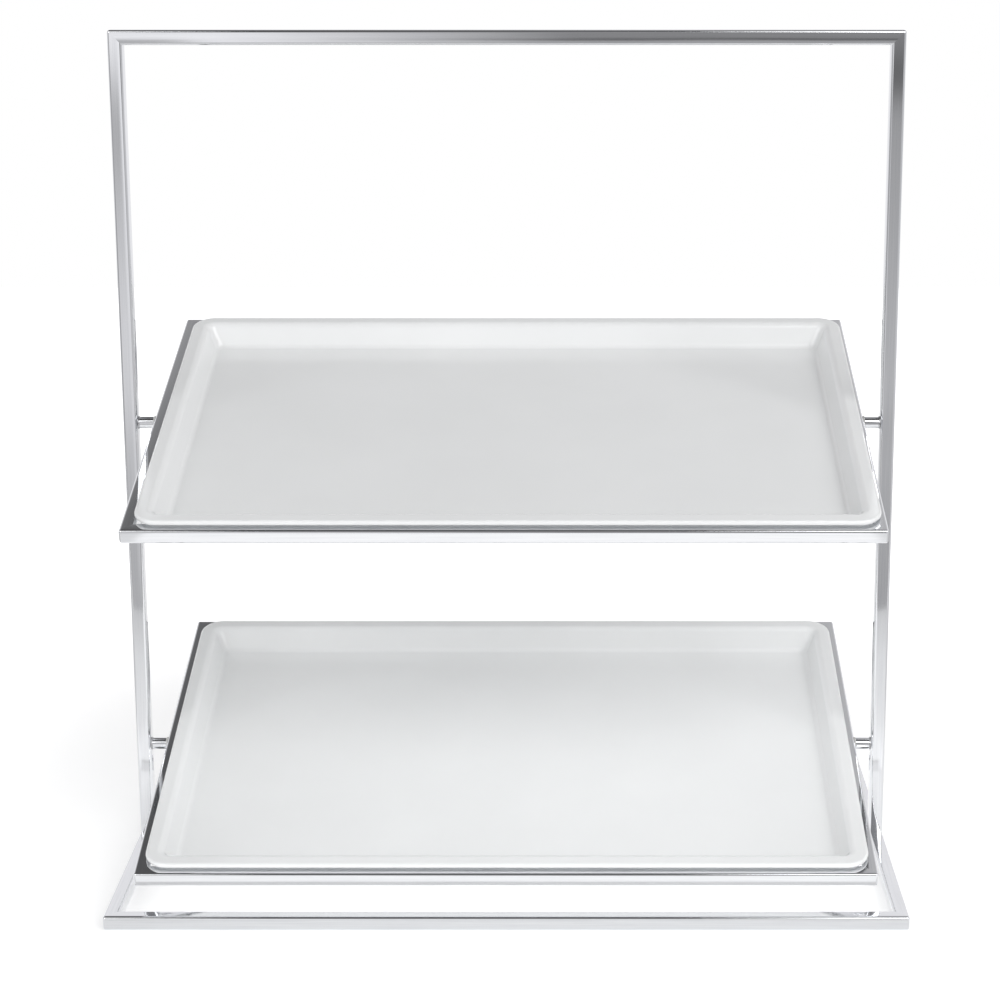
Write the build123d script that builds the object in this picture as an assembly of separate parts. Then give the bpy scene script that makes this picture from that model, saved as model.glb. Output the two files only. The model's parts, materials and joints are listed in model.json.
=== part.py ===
from build123d import *
import os
from math import cos, radians, tan

# Two-tier display stand of square chromed tube with tilting tiers and lift-out trays.
# Millimetres. The stand rests on Z = 0, its front faces -Y and +X is to the viewer's right.

# Square tube, the same for every rail, post and bar
BAR = 11.1
BAR_WALL = 1.0
BAR_EDGE_R = 2.0

# Tray: a shallow moulded dish whose flat rim rests on a rib, with its edge clear of the bars
TRAY_W = 530.0
TRAY_D = 325.0
TRAY_H = 21.0
TRAY_WALL = 2.8
TRAY_FLOOR = 3.0
TRAY_DRAFT = 23.5
RIM_T = 3.6
RIM_CORNER_R = 17.0
RIM_EDGE_R = 2.0
RIM_UNDER_R = 1.0
RIB_H = 1.5
RIB_INSET = 2.6
MOUTH_EDGE_R = 6.0
BASIN_CORNER_R = 6.0
FLOOR_R = 4.5

# Bar left showing all round a tray that lies in the middle of its tier
TRAY_MARGIN = 6.0

# Stand
STAND_H = 642.0
BASE_D = 325.0
PIVOT_GAP = 12.9

# Tiers: height of the pivot, tilt with the rear up, and how far off centre the tray lies
PIVOT_Z = {"upper": 344.0, "lower": 83.5}
UPPER_TILT = 15.6
LOWER_TILT = 15.0
TRAY_SHIFT_X = {"upper": 2.6, "lower": 0.4}
TRAY_SHIFT_Y = {"upper": -1.4, "lower": -0.9}

# Pivot hardware
SCREW_D = 5.0
PIVOT_HEAD_D = 9.0
PIVOT_HEAD_H = 2.0
PIVOT_SOCKET_AF = 3.0
PIVOT_SOCKET_DEPTH = 1.3
HEAD_TO_BASIN = 1.5
RUNNING_GAP = 0.05
BUSH_D = 8.0
WASHER_D = 9.8
WASHER_T = 1.0
SPACER_D = 9.0
INSERT_D = 7.0
INSERT_FLANGE_D = 9.8
INSERT_FLANGE_T = 0.8
INSERT_END_GAP = 1.0

# Foot joint: a screw up through the base rail into a plug in the post
FOOT_HEAD_D = 8.4
FOOT_HEAD_H = 5.0
FOOT_SOCKET_AF = 4.0
FOOT_SOCKET_DEPTH = 2.5
FOOT_ACCESS_GAP = 0.2
PLUG_H = 20.0
SCREW_END_GAP = 2.0

# Clearance round a piece that is pressed, welded or screwed into its hole
FIT_GAP = 0.05

# Sizes that follow from the ones above
TIER_TILT = {"upper": UPPER_TILT, "lower": LOWER_TILT}
BAR_BORE = BAR - 2 * BAR_WALL
TIER_W = TRAY_W + 2 * TRAY_MARGIN
TIER_D = TRAY_D + 2 * TRAY_MARGIN
STAND_W = TIER_W + 2 * PIVOT_GAP + 2 * BAR
POST_X = (STAND_W - BAR) / 2
POST_INNER_X = STAND_W / 2 - BAR
TIER_INNER_X = TIER_W / 2 - BAR
SPACER_L = PIVOT_GAP - WASHER_T - INSERT_FLANGE_T
INSERT_L = BAR - BAR_WALL - INSERT_END_GAP
DRAFT_RUN = tan(radians(TRAY_DRAFT))
WALL_RUN = TRAY_WALL / cos(radians(TRAY_DRAFT))
BASIN_GAP = PIVOT_HEAD_H + max(TRAY_SHIFT_X.values()) + HEAD_TO_BASIN
RIM_SEAT = BAR - TRAY_MARGIN + BASIN_GAP


def square_tube(length, plan):
    """Square tube along X, cut at its ends by the outline of its plan."""
    section = Plane.YZ * (RectangleRounded(BAR, BAR, BAR_EDGE_R) - Rectangle(BAR_BORE, BAR_BORE))
    blank = extrude(section, length, both=True)
    cutter = extrude(make_face(Polyline(*plan, close=True)), BAR, both=True)
    return blank & cutter


def mitred_tube(length):
    """Tube centred on the origin with both ends cut at 45 degrees; its long side faces -Y."""
    half, side = length / 2, BAR / 2
    plan = [(-half, -side), (half, -side), (half - BAR, side), (BAR - half, side)]
    return square_tube(length, plan)


def post_tube(length):
    """Tube from the origin along X, square at its foot and mitred at its far end."""
    side = BAR / 2
    plan = [(0, -side), (length, -side), (length - BAR, side), (0, side)]
    return square_tube(length, plan)


def tube_frame(width, depth):
    """The four mitred tubes of a rectangle that lies flat about the origin."""
    across, along = (width - BAR) / 2, (depth - BAR) / 2
    return {
        "front": Pos(0, -along, 0) * mitred_tube(width),
        "rear": Pos(0, along, 0) * Rot(0, 0, 180) * mitred_tube(width),
        "left": Pos(-across, 0, 0) * Rot(0, 0, -90) * mitred_tube(depth),
        "right": Pos(across, 0, 0) * Rot(0, 0, 90) * mitred_tube(depth),
    }


def rod_x(diameter, x_start, x_end):
    """Round rod along X."""
    return extrude(Plane.YZ.offset(x_start) * Circle(diameter / 2), x_end - x_start)


def sleeve_x(diameter, bore, x_start, x_end):
    """Round sleeve along X."""
    return rod_x(diameter, x_start, x_end) - rod_x(bore, x_start, x_end)


def rod_z(diameter, z_start, z_end):
    """Round rod along Z."""
    return extrude(Plane.XY.offset(z_start) * Circle(diameter / 2), z_end - z_start)


def hexagon(across_flats):
    """Outline of a hexagon socket."""
    return RegularPolygon(across_flats / 2, 6, major_radius=False)


def basin(inset, z_top, z_bottom, corner_r, bottom_r):
    """Block with drafted sides that start at an inset from the tray's outline, rounded all round."""
    mouth = Rectangle(TRAY_W - 2 * inset, TRAY_D - 2 * inset)
    block = Pos(0, 0, z_top) * extrude(mouth, z_top - z_bottom, dir=(0, 0, -1), taper=TRAY_DRAFT)
    slanted_edges = block.edges().group_by(Axis.Z)[1]
    block = fillet(slanted_edges, corner_r)
    return fillet(block.faces().sort_by(Axis.Z)[0].edges(), bottom_r)


def tray():
    """Tray centred on the origin, with the rib under its rim on Z = 0."""
    rim_top = RIB_H + RIM_T
    bottom = rim_top - TRAY_H
    mouth_inset = RIM_SEAT + WALL_RUN - rim_top * DRAFT_RUN
    rib_w, rib_d = TRAY_W - 2 * RIB_INSET, TRAY_D - 2 * RIB_INSET
    rib = extrude(RectangleRounded(rib_w, rib_d, RIM_CORNER_R - RIB_INSET), RIB_H)
    rim = Pos(0, 0, RIB_H) * extrude(RectangleRounded(TRAY_W, TRAY_D, RIM_CORNER_R), RIM_T)
    rim = fillet(rim.faces().sort_by(Axis.Z)[-1].edges(), RIM_EDGE_R)
    rim = fillet(rim.faces().sort_by(Axis.Z)[0].edges(), RIM_UNDER_R)
    dish = basin(RIM_SEAT, 0, bottom, BASIN_CORNER_R + TRAY_WALL, FLOOR_R + TRAY_FLOOR)
    hollow = basin(mouth_inset, rim_top, bottom + TRAY_FLOOR, BASIN_CORNER_R, FLOOR_R)
    body = rim + rib + dish - hollow
    mouth = body.faces().sort_by(Axis.Z)[-1].inner_wires()[0]
    return fillet(mouth.edges(), MOUTH_EDGE_R)


def base_rails():
    """Base loop; each side rail has a screw hole under its post and an access hole below."""
    rails = tube_frame(STAND_W, BASE_D)
    rails = {side: Pos(0, 0, BAR / 2) * rail for side, rail in rails.items()}
    screw_hole = rod_z(SCREW_D + 2 * FIT_GAP, BAR / 2, BAR)
    access_hole = rod_z(FOOT_HEAD_D + 2 * FOOT_ACCESS_GAP, 0, BAR / 2)
    for side, x in (("left", -POST_X), ("right", POST_X)):
        rails[side] = rails[side] - Pos(x, 0, 0) * (screw_hole + access_hole)
    return rails


def post(facing):
    """Post at the right (facing 1) or left (facing -1), holed on its inner wall for the inserts."""
    seat = Plane(origin=(facing * POST_X, 0, BAR), x_dir=(0, 0, 1), z_dir=(0, -facing, 0))
    tube = seat * post_tube(STAND_H - BAR)
    hole = Rot(0, 0, 90 - 90 * facing) * rod_x(INSERT_D + 2 * FIT_GAP, POST_INNER_X, POST_X)
    for pivot_z in PIVOT_Z.values():
        tube = tube - Pos(0, 0, pivot_z) * hole
    return tube


def foot_plug():
    """Threaded plug that fills the foot of a post, on the origin's axis."""
    width = BAR_BORE - 2 * FIT_GAP
    block = Pos(0, 0, BAR) * extrude(Rectangle(width, width), PLUG_H)
    return block - rod_z(SCREW_D + 2 * FIT_GAP, BAR, BAR + PLUG_H)


def foot_screw():
    """Socket-head screw; its head bears on the inside of the base rail's upper wall."""
    seat_z = BAR - BAR_WALL
    head_z = seat_z - FOOT_HEAD_H
    shank = rod_z(SCREW_D, seat_z, BAR + PLUG_H - SCREW_END_GAP)
    socket = Pos(0, 0, head_z) * extrude(hexagon(FOOT_SOCKET_AF), FOOT_SOCKET_DEPTH)
    return rod_z(FOOT_HEAD_D, head_z, seat_z) + shank - socket


def tier_bars():
    """Tier frame about its pivot axis; the side bars are holed for their bushes."""
    bars = tube_frame(TIER_W, TIER_D)
    hole = rod_x(BUSH_D + 2 * FIT_GAP, -TIER_W / 2, TIER_W / 2)
    for side in ("left", "right"):
        bars[side] = bars[side] - hole
    return bars


def pivot_hardware():
    """Pieces of a right-hand pivot, in order outwards from the tier, about the pivot axis."""
    bore = SCREW_D + 2 * FIT_GAP
    tier_x = TIER_W / 2
    spacer_x = tier_x + WASHER_T
    flange_x = POST_INNER_X - INSERT_FLANGE_T
    insert_x = POST_INNER_X + INSERT_L
    head_x = TIER_INNER_X - PIVOT_HEAD_H
    shank = rod_x(SCREW_D, TIER_INNER_X, insert_x - INSERT_END_GAP)
    socket = extrude(Plane.YZ.offset(head_x) * hexagon(PIVOT_SOCKET_AF), PIVOT_SOCKET_DEPTH)
    flange = sleeve_x(INSERT_FLANGE_D, bore, flange_x, POST_INNER_X)
    return {
        "pivot_screw": rod_x(PIVOT_HEAD_D, head_x, TIER_INNER_X) + shank - socket,
        "pivot_bush": sleeve_x(BUSH_D, SCREW_D + 2 * RUNNING_GAP, TIER_INNER_X, tier_x),
        "pivot_washer": sleeve_x(WASHER_D, bore, tier_x, spacer_x),
        "pivot_spacer": sleeve_x(SPACER_D, bore, spacer_x, spacer_x + SPACER_L),
        "pivot_insert": flange + sleeve_x(INSERT_D, bore, POST_INNER_X, insert_x),
    }


parts = {f"base_{side}_rail": rail for side, rail in base_rails().items()}
parts["top_rail"] = Pos(0, 0, STAND_H - BAR / 2) * Rot(-90, 0, 0) * mitred_tube(STAND_W)
for hand, facing in (("left", -1), ("right", 1)):
    parts[f"{hand}_post"] = post(facing)
    parts[f"{hand}_post_plug"] = Pos(facing * POST_X, 0, 0) * foot_plug()
    parts[f"{hand}_post_screw"] = Pos(facing * POST_X, 0, 0) * foot_screw()
for tier, pivot_z in PIVOT_Z.items():
    tilted = Pos(0, 0, pivot_z) * Rot(TIER_TILT[tier], 0, 0)
    tray_seat = Pos(TRAY_SHIFT_X[tier], TRAY_SHIFT_Y[tier], BAR / 2)
    for side, bar in tier_bars().items():
        parts[f"{tier}_tier_{side}_bar"] = tilted * bar
    parts[f"{tier}_tray"] = tilted * tray_seat * tray()
    for hand, turn in (("left", 180), ("right", 0)):
        for piece, shape in pivot_hardware().items():
            parts[f"{tier}_{hand}_{piece}"] = Pos(0, 0, pivot_z) * Rot(0, 0, turn) * shape

os.makedirs("parts", exist_ok=True)
for name, shape in parts.items():
    export_step(shape, f"parts/{name}.step")
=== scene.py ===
import json
from math import atan2, cos, pi, radians, sqrt, tan

import bmesh
import bpy
from mathutils import Matrix, Vector


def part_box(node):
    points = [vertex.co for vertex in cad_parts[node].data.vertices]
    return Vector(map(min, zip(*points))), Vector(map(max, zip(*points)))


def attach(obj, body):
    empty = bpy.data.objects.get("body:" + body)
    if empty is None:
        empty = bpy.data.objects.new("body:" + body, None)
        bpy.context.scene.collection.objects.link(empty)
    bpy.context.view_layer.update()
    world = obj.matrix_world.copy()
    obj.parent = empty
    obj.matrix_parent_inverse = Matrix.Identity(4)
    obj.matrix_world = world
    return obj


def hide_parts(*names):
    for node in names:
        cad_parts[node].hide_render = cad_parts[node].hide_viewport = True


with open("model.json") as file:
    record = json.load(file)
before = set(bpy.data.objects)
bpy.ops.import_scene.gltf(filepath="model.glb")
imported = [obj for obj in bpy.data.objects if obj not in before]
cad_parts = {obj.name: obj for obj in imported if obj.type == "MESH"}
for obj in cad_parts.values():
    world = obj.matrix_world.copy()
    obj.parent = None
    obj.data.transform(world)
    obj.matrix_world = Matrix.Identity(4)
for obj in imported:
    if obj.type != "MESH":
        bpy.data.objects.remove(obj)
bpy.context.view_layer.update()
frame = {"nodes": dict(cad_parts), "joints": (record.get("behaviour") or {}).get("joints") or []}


# Base: a rectangular loop of drawn square steel tube that lies flat on the table. Its four rails are
# mitred, welded, ground flush and plated together, so only the drawn edge rounding shows.
LOOP_SIDES = {"front": (0, -1, 0), "rear": (0, 1, 0), "left": (-1, 0, 0), "right": (1, 0, 0)}
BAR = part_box("base_front_rail")[1][2]
BAR_EDGE_R = 0.0020
BAR_EDGE_STEPS = 6
BAR_CROWN = 0.00002
LEVEL_FACE = 0.9
DIAGONAL = sqrt(2)
CUT_TOLERANCE = 1e-6
HARD_EDGE = radians(35)


def bar_loop(width, depth):
    """A flat rectangular loop of square bar, centred on the origin, with its long edges rounded. The middle
    of each flat stands a hair proud of its edges, as on drawn tube."""
    bm = bmesh.new()
    flat_bar = BAR - 2 * BAR_CROWN
    outline = Matrix.Diagonal((width - 2 * BAR_CROWN, depth - 2 * BAR_CROWN, flat_bar, 1.0))
    bmesh.ops.create_cube(bm, size=1.0, matrix=outline)
    bm.normal_update()
    lids = [face for face in bm.faces if abs(face.normal.z) > LEVEL_FACE]
    bmesh.ops.inset_individual(bm, faces=lids, thickness=flat_bar, use_even_offset=True)
    window = [edge for face in lids for edge in face.edges]
    bmesh.ops.delete(bm, geom=lids, context="FACES_ONLY")
    bmesh.ops.bridge_loops(bm, edges=window)
    bmesh.ops.recalc_face_normals(bm, faces=bm.faces)
    mitres = [edge for edge in bm.edges if edge.calc_length() < 2 * BAR]
    crowns = bmesh.ops.subdivide_edges(bm, edges=mitres, cuts=1, use_grid_fill=True)["geom_inner"]
    for vert in (item for item in crowns if isinstance(item, bmesh.types.BMVert)):
        facing = Vector((round(axis) for axis in vert.normal * DIAGONAL))
        vert.co += facing * BAR_CROWN
    bm.normal_update()
    corners = [edge for edge in bm.edges if edge.calc_face_angle_signed() > HARD_EDGE]
    bmesh.ops.bevel(bm, geom=corners, offset=BAR_EDGE_R, offset_type="OFFSET", segments=BAR_EDGE_STEPS,
                    profile=0.5, affect="EDGES", material=-1)
    return bm


def trim(bm, point, away):
    """Cut the bar off at a plane, drop what lies on the away side and close the cut."""
    everything = bm.verts[:] + bm.edges[:] + bm.faces[:]
    bmesh.ops.bisect_plane(bm, geom=everything, dist=CUT_TOLERANCE, plane_co=point, plane_no=away,
                           clear_outer=True)
    bmesh.ops.edgeloop_fill(bm, edges=[edge for edge in bm.edges if edge.is_boundary])


def loop_side(width, depth, outward):
    """One side of the loop, mitred at both of its corners."""
    out = Vector(outward)
    run = Vector((abs(out.y), abs(out.x), 0))
    bm = bar_loop(width, depth)
    for end in (-1, 1):
        corner = (out + end * run) * Vector((width, depth, 0)) / 2
        trim(bm, corner, end * run - out)
    return bm


def add_piece(bm, node, made, body, material, place):
    """Put the piece that stands for a node in the scene, named for how it is made. Its shading is smooth
    over the roundings and keeps the flats flat."""
    name = f"{node}_{made}"
    bmesh.ops.transform(bm, matrix=place, verts=bm.verts)
    bmesh.ops.recalc_face_normals(bm, faces=bm.faces)
    mesh = bpy.data.meshes.new(name)
    bm.to_mesh(mesh)
    bm.free()
    mesh.shade_smooth()
    mesh.set_sharp_from_angle(angle=HARD_EDGE)
    mesh.materials.append(material)
    piece = bpy.data.objects.new(name, mesh)
    flat_faces = piece.modifiers.new("flat_faces", "WEIGHTED_NORMAL")
    flat_faces.keep_sharp = True
    bpy.context.scene.collection.objects.link(piece)
    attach(piece, body)
    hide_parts(node)


def add_node(tree, kind, settings=None, **sockets):
    """Add a shader node. A socket's name is written with _ for its spaces, and a socket value is linked."""
    made = tree.nodes.new(kind)
    for key, value in (settings or {}).items():
        setattr(made, key, value)
    for key, value in sockets.items():
        socket = made.inputs[key.replace("_", " ")]
        if isinstance(value, bpy.types.NodeSocket):
            tree.links.new(value, socket)
        else:
            socket.default_value = value
    return made


def new_material(name):
    """A material and its empty node tree."""
    material = bpy.data.materials.new(name)
    material.use_nodes = True
    material.node_tree.nodes.clear()
    return material, material.node_tree


def close_material(tree, shader):
    """Lead the shader to the surface."""
    add_node(tree, "ShaderNodeOutputMaterial", Surface=shader.outputs[0])


def ramp(tree, value, stops):
    """A colour that runs through the stops, each a place from 0 to 1 and its colour."""
    made = add_node(tree, "ShaderNodeValToRGB", Fac=value)
    elements = made.color_ramp.elements
    while len(elements) < len(stops):
        elements.new(1.0)
    for element, (position, colour) in zip(elements, stops):
        element.position = position
        element.color = colour
    return made.outputs["Color"]


MOTTLE_RANGE = (0.3, 0.7)


def mottle(tree, grain, dark, light):
    """A finish's colour, which wanders with the grain from its darker to its lighter tone."""
    return ramp(tree, grain, list(zip(MOTTLE_RANGE, (dark, light))))


def noise(tree, place, scale, detail):
    """An uneven grain over the surface."""
    return add_node(tree, "ShaderNodeTexNoise", Vector=place, Scale=scale, Detail=detail).outputs[0]


def roughness(tree, grain, limits):
    """A roughness that wanders with the grain between its limits."""
    smooth, rough = limits
    return add_node(tree, "ShaderNodeMapRange", Value=grain, To_Min=smooth, To_Max=rough).outputs[0]


def relief(tree, grain, height, strength=1.0, **under):
    """A bump of the surface by the grain, over another one where that is given as Normal."""
    made = add_node(tree, "ShaderNodeBump", Strength=strength, Distance=height, Height=grain, **under)
    return made.outputs[0]


CHROME = (0.79, 0.80, 0.815, 1.0)
CHROME_DULL = (0.74, 0.75, 0.77, 1.0)
CHROME_ROUGHNESS = (0.035, 0.075)
PLATE_WAVE = 38.0
PLATE_WAVE_DETAIL = 1.0
PLATE_WAVE_STRETCH = 0.16
PLATE_WAVE_HEIGHT = 0.00006
DRAW_LINES = 900.0
DRAW_LINE_DETAIL = 2.0
DRAW_LINE_STRETCH = 0.02
DRAW_LINE_HEIGHT = 0.0000012


def chrome(name, along, turn=0.0):
    """Mirror plate on drawn tube: slow waves and faint draw lines, both stretched along the tube."""
    material, tree = new_material(name)
    place = add_node(tree, "ShaderNodeTexCoord").outputs["Object"]
    bar_place = add_node(tree, "ShaderNodeMapping", Vector=place, Rotation=(-turn, 0, 0)).outputs[0]
    wave_scale = [PLATE_WAVE_STRETCH if axis == along else 1.0 for axis in "xyz"]
    line_scale = [DRAW_LINE_STRETCH if axis == along else 1.0 for axis in "xyz"]
    wave_place = add_node(tree, "ShaderNodeMapping", Vector=bar_place, Scale=wave_scale).outputs[0]
    line_place = add_node(tree, "ShaderNodeMapping", Vector=bar_place, Scale=line_scale).outputs[0]
    wave = noise(tree, wave_place, PLATE_WAVE, PLATE_WAVE_DETAIL)
    lines = noise(tree, line_place, DRAW_LINES, DRAW_LINE_DETAIL)
    waved = relief(tree, wave, PLATE_WAVE_HEIGHT)
    drawn = relief(tree, lines, DRAW_LINE_HEIGHT, Normal=waved)
    plate = mottle(tree, lines, CHROME_DULL, CHROME)
    shader = add_node(tree, "ShaderNodeBsdfPrincipled", Base_Color=plate, Metallic=1.0,
                      Roughness=roughness(tree, wave, CHROME_ROUGHNESS), Normal=drawn)
    close_material(tree, shader)
    return material


chrome_across = chrome("chrome_across", "x")
chrome_deep = chrome("chrome_deep", "y")
chrome_upright = chrome("chrome_upright", "z")

base_width = 2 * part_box("base_front_rail")[1][0]
base_depth = 2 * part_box("base_right_rail")[1][1]
on_table = Matrix.Translation((0, 0, BAR / 2))
for side, outward in LOOP_SIDES.items():
    rail = loop_side(base_width, base_depth, outward)
    finish = chrome_across if outward[1] else chrome_deep
    add_piece(rail, f"base_{side}_rail", "plated", "stand", finish, on_table)


# Upright: an inverted U of the same tube, two posts mitred to a top rail. The posts stand halfway along
# the base's side rails, and the top rail is the carrying handle.
UPRIGHT_SIDES = {"left_post": (-1, 0, 0), "right_post": (1, 0, 0), "top_rail": (0, 1, 0)}
stand_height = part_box("top_rail")[1][2]
stood_up = Matrix.Translation((0, 0, stand_height / 2)) @ Matrix.Rotation(pi / 2, 4, "X")
for node, outward in UPRIGHT_SIDES.items():
    bar = loop_side(base_width, stand_height, outward)
    if node.endswith("post"):
        trim(bar, (0, BAR - stand_height / 2, 0), (0, -1, 0))
    finish = chrome_upright if outward[0] else chrome_across
    add_piece(bar, node, "plated", "stand", finish, stood_up)


# Foot fixings: a threaded steel plug pressed into each post's foot, and a socket screw that comes up
# through the base rail into it. Both are hidden inside the tubes.
HANDS = {"left": -1, "right": 1}
STEEL = (0.50, 0.50, 0.51, 1.0)
STEEL_LIGHT = (0.60, 0.60, 0.61, 1.0)
STEEL_ROUGHNESS = (0.22, 0.42)
STEEL_GRAIN = 2500.0
STEEL_GRAIN_DETAIL = 3.0
STEEL_GRAIN_HEIGHT = 0.00001
STEEL_GRAIN_STRENGTH = 0.5


def turned_steel(name, dark, light):
    """Zinc-plated or satin steel with a fine, uneven grain."""
    material, tree = new_material(name)
    place = add_node(tree, "ShaderNodeTexCoord").outputs["Object"]
    grain = noise(tree, place, STEEL_GRAIN, STEEL_GRAIN_DETAIL)
    grained = relief(tree, grain, STEEL_GRAIN_HEIGHT, STEEL_GRAIN_STRENGTH)
    tone = mottle(tree, grain, dark, light)
    shader = add_node(tree, "ShaderNodeBsdfPrincipled", Base_Color=tone, Metallic=1.0,
                      Roughness=roughness(tree, grain, STEEL_ROUGHNESS), Normal=grained)
    close_material(tree, shader)
    return material


def refinish(node, material):
    """Give a CAD piece whose shape is right its real finish."""
    slots = frame["nodes"][node].data.materials
    slots.clear()
    slots.append(material)


plain_steel = turned_steel("plain_steel", STEEL, STEEL_LIGHT)
screw_steel = turned_steel("screw_steel", STEEL_LIGHT, CHROME_DULL)
for hand in HANDS:
    refinish(f"{hand}_post_plug", plain_steel)
    refinish(f"{hand}_post_screw", screw_steel)


# Tier frames: two loops of the same tube that hang between the posts, tilted with the rear edge up.
# They are mitred, welded and plated like the base.
TIERS = ("upper", "lower")
TIER_DEPTH = 0.337
tier_width = 2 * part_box("upper_tier_front_bar")[1][0]
joints = {joint["name"]: joint for joint in frame["joints"]}
tier_axis = {}
tier_place = {}
for tier in TIERS:
    normal = joints[f"{tier}_tray_lift"]["axis"]
    tilt = atan2(-normal[1], normal[2])
    tier_axis[tier] = Matrix.Translation(joints[f"{tier}_tier_tilt"]["pos_m"])
    tier_place[tier] = tier_axis[tier] @ Matrix.Rotation(tilt, 4, "X")
    chrome_tilted = chrome(f"chrome_{tier}_side", "y", tilt)
    for side, outward in LOOP_SIDES.items():
        bar = loop_side(tier_width, TIER_DEPTH, outward)
        finish = chrome_across if outward[1] else chrome_tilted
        add_piece(bar, f"{tier}_tier_{side}_bar", "plated", f"{tier}_tier", finish,
                  tier_place[tier])


# Pivots: each tier hangs on two screws. A screw passes from inside the tier through a bush in the side
# bar, a nylon friction washer and a turned spacer into a threaded insert in the post.
SCREW_SHANK_R = 0.0025
SCREW_BORE_R = 0.00255
SCREW_HEAD_H = 0.0020
SCREW_EDGE = 0.0006
SOCKET_SIDES = 6
SOCKET_FLATS = 0.0030
SOCKET_R = SOCKET_FLATS / 2 / cos(pi / SOCKET_SIDES)
SOCKET_DEPTH = 0.0013
FLANGE_T = 0.0008
INSERT_R = 0.0035
SLEEVE_EDGE = 0.0004
THIN_EDGE = 0.0002
TURNED_SIDES = 48
TURNED_EDGE_STEPS = 3
RING_STACK = 0.01


def turned(rings, broken, edge_r, bored=True):
    """A piece turned about the z axis. A ring is a place, a radius and, where it isn't round, its sides.
    The rings are joined while stacked well apart and then set to their places. The broken ones get an
    edge radius."""
    bm = bmesh.new()
    loops = []
    for level, (_, radius, *sides) in enumerate(rings):
        stacked = Matrix.Translation((0, 0, level * RING_STACK))
        segments = sides[0] if sides else TURNED_SIDES
        verts = bmesh.ops.create_circle(bm, segments=segments, radius=radius, matrix=stacked)["verts"]
        loops.append([edge for edge in bm.edges if edge.verts[0] in verts])
    joined = list(zip(loops, loops[1:]))
    if bored:
        joined.append((loops[-1], loops[0]))
    for loop, next_loop in joined:
        bmesh.ops.bridge_loops(bm, edges=loop + next_loop)
    if not bored:
        for loop in (loops[0], loops[-1]):
            bmesh.ops.edgeloop_fill(bm, edges=loop)
    for loop, (place, *_) in zip(loops, rings):
        for vert in {vert for edge in loop for vert in edge.verts}:
            vert.co.z = place
    bmesh.ops.recalc_face_normals(bm, faces=bm.faces)
    edges = [edge for index in broken for edge in loops[index]]
    bmesh.ops.bevel(bm, geom=edges, offset=edge_r, offset_type="OFFSET", segments=TURNED_EDGE_STEPS,
                    profile=0.5, affect="EDGES", material=-1)
    return bm


def sleeve(near, far, radius, edge_r):
    """A plain sleeve on the screw, with both of its outer edges broken."""
    rings = [(near, SCREW_BORE_R), (near, radius), (far, radius), (far, SCREW_BORE_R)]
    return turned(rings, (1, 2), edge_r)


def insert_sleeve(near, far, radius):
    """Threaded insert: a thin flange on the post's wall and a narrower sleeve inside the post."""
    flange_back = near + FLANGE_T
    rings = [(near, SCREW_BORE_R), (near, radius), (flange_back, radius), (flange_back, INSERT_R),
             (far, INSERT_R), (far, SCREW_BORE_R)]
    return turned(rings, (1, 2, 4), THIN_EDGE)


def socket_screw(near, far, radius):
    """Low-headed screw with a hexagon socket."""
    neck = near + SCREW_HEAD_H
    rings = [(near + SOCKET_DEPTH, SOCKET_R, SOCKET_SIDES), (near, SOCKET_R, SOCKET_SIDES), (near, radius),
             (neck, radius), (neck, SCREW_SHANK_R), (far, SCREW_SHANK_R)]
    return turned(rings, (2, 5), SCREW_EDGE, bored=False)


NYLON = (0.60, 0.60, 0.58, 1.0)
NYLON_DARK = (0.48, 0.48, 0.47, 1.0)
NYLON_ROUGHNESS = 0.55
NYLON_GRAIN = 700.0
NYLON_GRAIN_DETAIL = 3.0
NYLON_GRAIN_HEIGHT = 0.00003
NYLON_GRAIN_STRENGTH = 0.4


def nylon(name):
    """Matte nylon with a faint mottle."""
    material, tree = new_material(name)
    place = add_node(tree, "ShaderNodeTexCoord").outputs["Object"]
    grain = noise(tree, place, NYLON_GRAIN, NYLON_GRAIN_DETAIL)
    grained = relief(tree, grain, NYLON_GRAIN_HEIGHT, NYLON_GRAIN_STRENGTH)
    tone = mottle(tree, grain, NYLON_DARK, NYLON)
    shader = add_node(tree, "ShaderNodeBsdfPrincipled", Base_Color=tone, Roughness=NYLON_ROUGHNESS,
                      Normal=grained)
    close_material(tree, shader)
    return material


friction_nylon = nylon("friction_nylon")
for tier in TIERS:
    for hand, outward in HANDS.items():
        pivot = f"{tier}_{hand}_pivot"
        laid = tier_axis[tier] @ Matrix.Rotation(outward * pi / 2, 4, "Y")
        spans = {}
        for part in ("screw", "bush", "washer", "spacer", "insert"):
            low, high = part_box(f"{pivot}_{part}")
            near, far = sorted((abs(low[0]), abs(high[0])))
            spans[part] = near, far, (high[2] - low[2]) / 2
        modelled = {
            "screw": (socket_screw(*spans["screw"]), "stand", "screw_steel", screw_steel),
            "bush": (sleeve(*spans["bush"], SLEEVE_EDGE), f"{tier}_tier", "plain_steel", plain_steel),
            "washer": (sleeve(*spans["washer"], THIN_EDGE), "stand", "friction_nylon", friction_nylon),
            "spacer": (sleeve(*spans["spacer"], SLEEVE_EDGE), "stand", "chrome_spacer", chrome_across),
            "insert": (insert_sleeve(*spans["insert"]), "stand", "plain_steel", plain_steel),
        }
        for part, (bm, body, slot, finish) in modelled.items():
            add_piece(bm, f"{pivot}_{part}", "turned", body, finish, laid)


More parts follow.
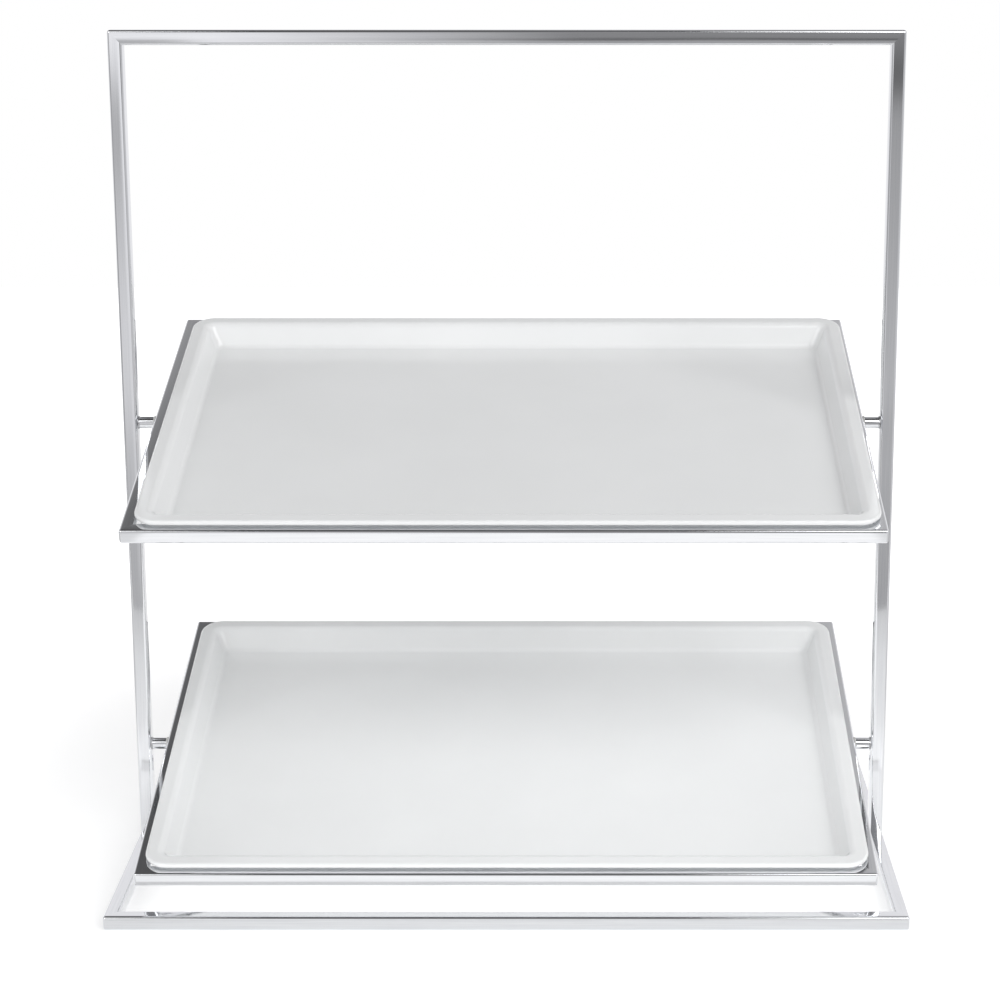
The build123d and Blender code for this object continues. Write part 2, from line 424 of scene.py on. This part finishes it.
# Trays: two moulded white melamine trays of the full gastronorm outline. A rib under the flat rim rests on
# the tier's bars, and the drafted dish drops inside them. Every edge that shows is rounded by the mould.
TRAY_W = 0.530
TRAY_D = 0.325
TRAY_H = 0.021
FLOOR_T = 0.0030
WALL_T = 0.0028
DRAFT = radians(23.5)
RIM_T = 0.0036
RIM_CORNER_R = 0.017
RIM_EDGE_R = 0.0020
RIM_UNDER_R = 0.0010
RIB_H = 0.0015
RIB_INSET = 0.0026
SEAT_INSET = 0.0112
MOUTH_EDGE_R = 0.006
BASIN_CORNER_R = 0.006
FLOOR_R = 0.0045
TRAY_SHIFT = {"upper": (0.0026, -0.0014), "lower": (0.0004, -0.0009)}
CORNER_STEPS = 12
ROUND_STEPS = 8


def tray_ring(bm, inset, height, corner_r):
    """The edges of a level rectangle with round corners, set in from the tray's outline."""
    size = Matrix.Diagonal((TRAY_W - 2 * inset, TRAY_D - 2 * inset, 1.0, 1.0))
    place = Matrix.Translation((0, 0, height)) @ size
    corners = bmesh.ops.create_grid(bm, x_segments=1, y_segments=1, size=0.5, matrix=place)["verts"]
    rounded = bmesh.ops.bevel(bm, geom=corners, offset=corner_r, offset_type="OFFSET", segments=CORNER_STEPS,
                              profile=0.5, affect="VERTICES", material=-1)
    sheet = rounded["verts"][0].link_faces[0]
    ring = sheet.edges[:]
    bmesh.ops.delete(bm, geom=[sheet], context="FACES_ONLY")
    return ring


def tray_mesh():
    """The tray with the rib under its rim on z = 0. Its rings run from the underside out over the rim to the
    inner floor. They are joined while stacked well apart, and then set to their real heights."""
    bm = bmesh.new()
    rim_top = RIB_H + RIM_T
    below = TRAY_H - rim_top
    drop = TRAY_H - FLOOR_T
    mouth_inset = SEAT_INSET + WALL_T / cos(DRAFT) - rim_top * tan(DRAFT)
    outer_corner_r = BASIN_CORNER_R + WALL_T
    rib_corner_r = RIM_CORNER_R - RIB_INSET
    sections = [
        (SEAT_INSET + below * tan(DRAFT), -below, outer_corner_r),
        (SEAT_INSET, 0.0, outer_corner_r),
        (RIB_INSET, 0.0, rib_corner_r),
        (RIB_INSET, RIB_H, rib_corner_r),
        (0.0, RIB_H, RIM_CORNER_R),
        (0.0, rim_top, RIM_CORNER_R),
        (mouth_inset, rim_top, BASIN_CORNER_R),
        (mouth_inset + drop * tan(DRAFT), rim_top - drop, BASIN_CORNER_R),
    ]
    rings = []
    for level, (inset, _, corner_r) in enumerate(sections):
        rings.append(tray_ring(bm, inset, level * TRAY_D, corner_r))
    for ring, next_ring in zip(rings, rings[1:]):
        bmesh.ops.bridge_loops(bm, edges=ring + next_ring)
    bottom, _, _, _, lip_low, lip_high, mouth, floor = rings
    for ring in (bottom, floor):
        bmesh.ops.edgeloop_fill(bm, edges=ring)
    for ring, (_, height, _) in zip(rings, sections):
        for vert in {vert for edge in ring for vert in edge.verts}:
            vert.co.z = height
    bmesh.ops.recalc_face_normals(bm, faces=bm.faces)
    square = pi / 2
    steep = pi / 2 - DRAFT
    roundings = [
        (bottom, FLOOR_R + FLOOR_T, steep),
        (lip_low, RIM_UNDER_R, square),
        (lip_high, RIM_EDGE_R, square),
        (mouth, MOUTH_EDGE_R, steep),
        (floor, FLOOR_R, steep),
    ]
    for ring, radius, turn in roundings:
        bmesh.ops.bevel(bm, geom=ring, offset=radius * tan(turn / 2), offset_type="OFFSET",
                        segments=ROUND_STEPS, profile=0.5, affect="EDGES", material=-1)
    return bm


MELAMINE = (0.86, 0.87, 0.87, 1.0)
MELAMINE_SHADE = (0.83, 0.84, 0.84, 1.0)
MELAMINE_ROUGHNESS = (0.10, 0.20)
MELAMINE_IOR = 1.52
CLOUD = 9.0
CLOUD_DETAIL = 3.0
SKIN = 160.0
SKIN_DETAIL = 2.0
SKIN_HEIGHT = 0.00002
SKIN_STRENGTH = 0.4


def melamine(name):
    """Gloss-moulded melamine: an even white with a faint cloud, and a skin that is barely uneven."""
    material, tree = new_material(name)
    place = add_node(tree, "ShaderNodeTexCoord").outputs["Object"]
    cloud = noise(tree, place, CLOUD, CLOUD_DETAIL)
    skin = relief(tree, noise(tree, place, SKIN, SKIN_DETAIL), SKIN_HEIGHT, SKIN_STRENGTH)
    tone = mottle(tree, cloud, MELAMINE_SHADE, MELAMINE)
    shader = add_node(tree, "ShaderNodeBsdfPrincipled", Base_Color=tone, IOR=MELAMINE_IOR,
                      Roughness=roughness(tree, cloud, MELAMINE_ROUGHNESS), Normal=skin)
    close_material(tree, shader)
    return material


white_melamine = melamine("white_melamine")
for tier in TIERS:
    seat = tier_place[tier] @ Matrix.Translation((*TRAY_SHIFT[tier], BAR / 2))
    add_piece(tray_mesh(), f"{tier}_tray", "moulded", f"{tier}_tray", white_melamine, seat)


# Table: a white back-lit sheet that lights the stand from below. It shows pure white round the stand's
# shadow, and ends a little in front of the stand, where the dimmer room begins in the chrome.
TABLE_SIDE = 1.6
TABLE_FRONT = -0.62
TABLE_DROP = 0.0005
TABLE_WHITE = (0.8, 0.8, 0.8, 1.0)
TABLE_UNDERLIGHT = 0.60
SHADOW_REACH = 0.35
SHADOW_GLOW = 0.45
WHITE_REACH = 0.90
WHITE_GLOW = 1.0
BASE_FRONT = -base_depth / 2
LIT_MIDDLE_X = -0.0075
LIT_HALF_WIDTH = 0.3195
LIT_EDGE = 0.012
FAR_SIDE = 0.46
FAR_EDGE = 0.16
FAR_TONE = 0.10
STUDIO_TINT = (0.985, 0.98, 1.0)


def greys(*stops):
    """Stops of a ramp in the studio's grey, each a place and its tone."""
    return [(position, (*(tone * part for part in STUDIO_TINT), 1.0)) for position, tone in stops]


def soft_step(tree, value, low, high, from_tone=0.0, to_tone=1.0, shape="SMOOTHSTEP"):
    """A change from one tone to another while the value goes from low to high."""
    made = add_node(tree, "ShaderNodeMapRange", {"interpolation_type": shape}, Value=value,
                    From_Min=low, From_Max=high, To_Min=from_tone, To_Max=to_tone)
    return made.outputs[0]


def mix_tones(tree, factor, first, second):
    """The first tone where the factor is 0 and the second where it is 1."""
    return add_node(tree, "ShaderNodeMixRGB", Fac=factor, Color1=first, Color2=second).outputs[0]


# The table's glow as the chrome sees it, from its front edge at 0 to the base's front rail at 1. These tones
# are painted light and shade, graded across and along the sheet; across the middle they fall to painted
# shade, with a dark line of painted shade, just in front of the base's front rail.
PAINTED_TABLE_MIDDLE = greys((0.0, 0.40), (0.4, 0.52), (0.88, 0.45), (0.937, 0.50), (0.942, 0.08), (0.951, 0.10),
                     (0.957, 0.27), (0.995, 0.27), (1.0, 0.45))
PAINTED_TABLE_SIDES = greys((0.0, 0.02), (0.15, 0.10), (0.33, 0.22), (0.75, 0.34), (0.98, 0.62), (1.0, 0.35))

table_white, tree = new_material("table_white")
path = add_node(tree, "ShaderNodeLightPath").outputs
place = add_node(tree, "ShaderNodeTexCoord").outputs["Object"]
reach = add_node(tree, "ShaderNodeVectorMath", {"operation": "LENGTH"}, Vector=place).outputs["Value"]
shown_level = soft_step(tree, reach, SHADOW_REACH, WHITE_REACH, SHADOW_GLOW, WHITE_GLOW)
centred = add_node(tree, "ShaderNodeMapping", Vector=place, Location=(-LIT_MIDDLE_X, 0, 0)).outputs[0]
spot = add_node(tree, "ShaderNodeSeparateXYZ", Vector=centred).outputs
aside = add_node(tree, "ShaderNodeMath", {"operation": "ABSOLUTE"}, Value=spot["X"]).outputs[0]
# What the chrome sees of the table is painted light and shade, graded across and along the sheet, not the
# white that the camera sees.
depth = soft_step(tree, spot["Y"], TABLE_FRONT, BASE_FRONT, shape="LINEAR")
middle_level = ramp(tree, depth, PAINTED_TABLE_MIDDLE)
near_side = ramp(tree, depth, PAINTED_TABLE_SIDES)
side_level = soft_step(tree, aside, FAR_SIDE, FAR_SIDE + FAR_EDGE, near_side, FAR_TONE)
to_side = soft_step(tree, aside, LIT_HALF_WIDTH, LIT_HALF_WIDTH + LIT_EDGE)
painted_mirror_level = mix_tones(tree, to_side, middle_level, side_level)
cast_level = soft_step(tree, path["Is Glossy Ray"], 0.0, 1.0, TABLE_UNDERLIGHT, painted_mirror_level)
glow_level = soft_step(tree, path["Is Camera Ray"], 0.0, 1.0, cast_level, shown_level)
glow = add_node(tree, "ShaderNodeEmission", Color=(1, 1, 1, 1), Strength=glow_level)
sheet = add_node(tree, "ShaderNodeBsdfDiffuse", Color=TABLE_WHITE)
lit_sheet = add_node(tree, "ShaderNodeAddShader")
for shader, socket in zip((glow, sheet), lit_sheet.inputs):
    tree.links.new(shader.outputs[0], socket)
close_material(tree, lit_sheet)

table_bm = bmesh.new()
table_place = Matrix.Translation((0, TABLE_FRONT + TABLE_SIDE, -TABLE_DROP))
bmesh.ops.create_grid(table_bm, x_segments=1, y_segments=1, size=TABLE_SIDE, matrix=table_place)
table_mesh = bpy.data.meshes.new("table_sheet")
table_bm.to_mesh(table_mesh)
table_bm.free()
table_mesh.materials.append(table_white)
table = bpy.data.objects.new("table_sheet", table_mesh)
bpy.context.scene.collection.objects.link(table)


# Room: a white backdrop behind the stand under an unlit ceiling that is darker on the left, and in front a
# dim room that is lighter on the left, between two walls. The chrome shows it, and the camera sees plain
# white. Each set of tones runs from straight down at 0 to straight up at 1.
BACK_LEFT = greys((0.0, 0.95), (0.72, 0.95), (0.775, 0.40), (0.83, 0.36), (0.855, 0.18), (0.89, 0.11),
                  (1.0, 0.10))
BACK_RIGHT = greys((0.0, 0.95), (0.72, 0.95), (0.78, 0.60), (0.92, 0.55), (1.0, 0.30))
FRONT_LEFT = greys((0.0, 0.40), (0.345, 0.52), (0.36, 0.54), (0.380, 0.63), (0.393, 0.79), (0.408, 0.81),
                   (0.429, 0.68), (0.446, 0.51), (0.454, 0.56), (0.4585, 0.71), (0.4625, 0.96),
                   (0.470, 1.05), (0.56, 0.85), (0.66, 0.40), (0.8, 0.10))
FRONT_MIDDLE = greys((0.0, 0.40), (0.345, 0.52), (0.38, 0.80), (0.42, 0.95), (0.470, 1.10), (0.56, 0.85),
                     (0.66, 0.40), (0.8, 0.10))
FRONT_RIGHT = greys((0.0, 0.40), (0.345, 0.43), (0.380, 0.53), (0.386, 0.50), (0.393, 0.58), (0.418, 0.51),
                    (0.446, 0.43), (0.452, 0.45), (0.4575, 0.11), (0.462, 0.13), (0.466, 0.29),
                    (0.56, 0.30), (0.66, 0.40), (0.8, 0.15))
WALL_LEFT = greys((0.0, 0.40), (0.345, 0.52), (0.39, 0.42), (0.46, 0.44), (0.50, 0.90), (0.56, 0.85),
                  (0.66, 0.40), (0.8, 0.10))
WALL_RIGHT = greys((0.0, 0.40), (0.345, 0.43), (0.39, 0.68), (0.46, 0.62), (0.50, 0.30), (0.66, 0.40),
                   (0.8, 0.15))
# One set gives way to the next between two headings, each from -1 at the left or front to 1 opposite.
LEFT_TO_MIDDLE = (-0.170, -0.150)
MIDDLE_TO_RIGHT = (-0.15, 0.0)
LEFT_WALL_EDGE = (-0.60, -0.45)
RIGHT_WALL_EDGE = (0.24, 0.38)
BACK_LEFT_TO_RIGHT = (-0.16, 0.16)
FRONT_TO_BACK = (-0.15, 0.15)

world = bpy.data.worlds.new("studio_room")
bpy.context.scene.world = world
world.use_nodes = True
room = world.node_tree
room.nodes.clear()
towards = add_node(room, "ShaderNodeTexCoord").outputs["Generated"]
heading = add_node(room, "ShaderNodeSeparateXYZ", Vector=towards).outputs
rise = soft_step(room, heading["Z"], -1.0, 1.0, shape="LINEAR")

to_middle = soft_step(room, heading["X"], *LEFT_TO_MIDDLE)
to_right = soft_step(room, heading["X"], *MIDDLE_TO_RIGHT, shape="LINEAR")
on_left_wall = soft_step(room, heading["X"], *LEFT_WALL_EDGE, 1.0, 0.0)
on_right_wall = soft_step(room, heading["X"], *RIGHT_WALL_EDGE)
front = mix_tones(room, to_middle, ramp(room, rise, FRONT_LEFT), ramp(room, rise, FRONT_MIDDLE))
front = mix_tones(room, to_right, front, ramp(room, rise, FRONT_RIGHT))
front = mix_tones(room, on_left_wall, front, ramp(room, rise, WALL_LEFT))
front = mix_tones(room, on_right_wall, front, ramp(room, rise, WALL_RIGHT))
back_to_right = soft_step(room, heading["X"], *BACK_LEFT_TO_RIGHT)
back = mix_tones(room, back_to_right, ramp(room, rise, BACK_LEFT), ramp(room, rise, BACK_RIGHT))
to_back = soft_step(room, heading["Y"], *FRONT_TO_BACK)
around = mix_tones(room, to_back, front, back)
seen_by_camera = add_node(room, "ShaderNodeLightPath").outputs["Is Camera Ray"]
shown = mix_tones(room, seen_by_camera, around, (1, 1, 1, 1))
surround = add_node(room, "ShaderNodeBackground", Color=shown, Strength=1.0)
add_node(room, "ShaderNodeOutputWorld", Surface=surround.outputs[0])


# Lights: two large softboxes in front of the table, above the camera and aimed at the stand between its
# tiers. The right one is larger and stronger.
SOFTBOX_AIM = (0, 0, 0.25)
SOFTBOXES = {
    "right_softbox": {"place": (2.00, -2.95, 2.45), "width": 3.0, "height": 2.8, "watts": 106},
    "left_softbox": {"place": (-2.22, -2.95, 2.45), "width": 2.6, "height": 2.6, "watts": 53},
}
for name, box in SOFTBOXES.items():
    lamp = bpy.data.lights.new(name, "AREA")
    lamp.shape = "RECTANGLE"
    lamp.size = box["width"]
    lamp.size_y = box["height"]
    lamp.energy = box["watts"]
    softbox = bpy.data.objects.new(name, lamp)
    softbox.location = box["place"]
    beam = Vector(SOFTBOX_AIM) - Vector(box["place"])
    softbox.rotation_euler = beam.to_track_quat("-Z", "Y").to_euler()
    bpy.context.scene.collection.objects.link(softbox)


# Camera: at the photograph's standpoint, a little right of the middle and above the top rail. It looks
# down on the trays, and its small shift frames the stand.
SENSOR_WIDTH = 36.0
LENS = 84.32
SHIFT_ACROSS = -0.07
SHIFT_UP = -0.10
STANDPOINT = (0.0466, -1.7484, 0.7527)
LOOK_DOWN = radians(12.61)
camera_data = bpy.data.cameras.new("photo_camera")
camera_data.sensor_width = SENSOR_WIDTH
camera_data.lens = LENS
camera_data.shift_x = SHIFT_ACROSS
camera_data.shift_y = SHIFT_UP
camera = bpy.data.objects.new("photo_camera", camera_data)
camera.location = STANDPOINT
camera.rotation_euler = (pi / 2 - LOOK_DOWN, 0, 0)
bpy.context.scene.collection.objects.link(camera)
bpy.context.scene.camera = camera
bpy.context.scene.view_settings.view_transform = "Standard"
